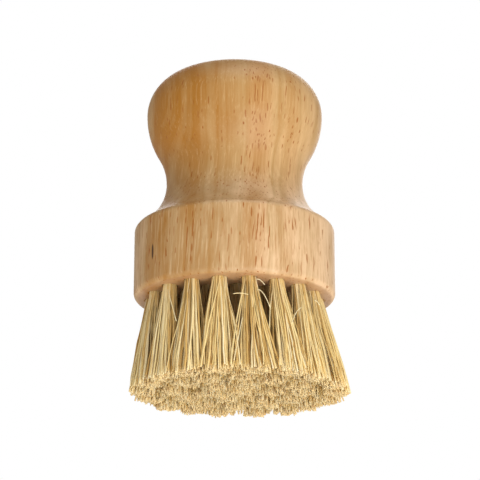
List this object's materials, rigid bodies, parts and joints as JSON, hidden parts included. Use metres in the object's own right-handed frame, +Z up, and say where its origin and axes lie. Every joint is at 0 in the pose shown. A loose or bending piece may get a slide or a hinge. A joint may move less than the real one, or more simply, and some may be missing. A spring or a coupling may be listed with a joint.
{
  "type": "palm brush",
  "caption": "Round palm brush: a turned wooden knob that flares from a waist into a round head, with stapled tufts of stiff plant fibre fanning out below.",
  "frame": {"origin": "on the brush's axis, in the flat plane of the bristle tips that it stands on", "axes": "+Z up the axis through the knob; +Y is the back as pictured, +X is the right"},
  "size_m": [0.0595, 0.0587, 0.0918],
  "materials": {
    "wood": "fine turned, satin, vertical grain",
    "plant_fibre": "straw-coloured stiff plant fibre, matt",
    "staple_wire": "drawn wire, dull"
  },
  "bodies": {
    "root": {"handle_block": "wood", "tuft_middle": "plant_fibre", "tuft_inner_1": "plant_fibre", "tuft_inner_2": "plant_fibre", "tuft_inner_3": "plant_fibre", "tuft_inner_4": "plant_fibre", "tuft_inner_5": "plant_fibre", "tuft_inner_6": "plant_fibre", "tuft_mid_1": "plant_fibre", "tuft_mid_2": "plant_fibre", "tuft_mid_3": "plant_fibre", "tuft_mid_4": "plant_fibre", "tuft_mid_5": "plant_fibre", "tuft_mid_6": "plant_fibre", "tuft_mid_7": "plant_fibre", "tuft_mid_8": "plant_fibre", "tuft_mid_9": "plant_fibre", "tuft_mid_10": "plant_fibre", "tuft_mid_11": "plant_fibre", "tuft_mid_12": "plant_fibre", "tuft_outer_1": "plant_fibre", "tuft_outer_2": "plant_fibre", "tuft_outer_3": "plant_fibre", "tuft_outer_4": "plant_fibre", "tuft_outer_5": "plant_fibre", "tuft_outer_6": "plant_fibre", "tuft_outer_7": "plant_fibre", "tuft_outer_8": "plant_fibre", "tuft_outer_9": "plant_fibre", "tuft_outer_10": "plant_fibre", "tuft_outer_11": "plant_fibre", "tuft_outer_12": "plant_fibre", "tuft_outer_13": "plant_fibre", "tuft_outer_14": "plant_fibre", "tuft_outer_15": "plant_fibre", "tuft_outer_16": "plant_fibre", "tuft_outer_17": "plant_fibre", "tuft_outer_18": "plant_fibre", "staple_middle": "staple_wire", "staples_inner": "staple_wire", "staples_mid": "staple_wire", "staples_outer": "staple_wire"}
  },
  "joints": []
}
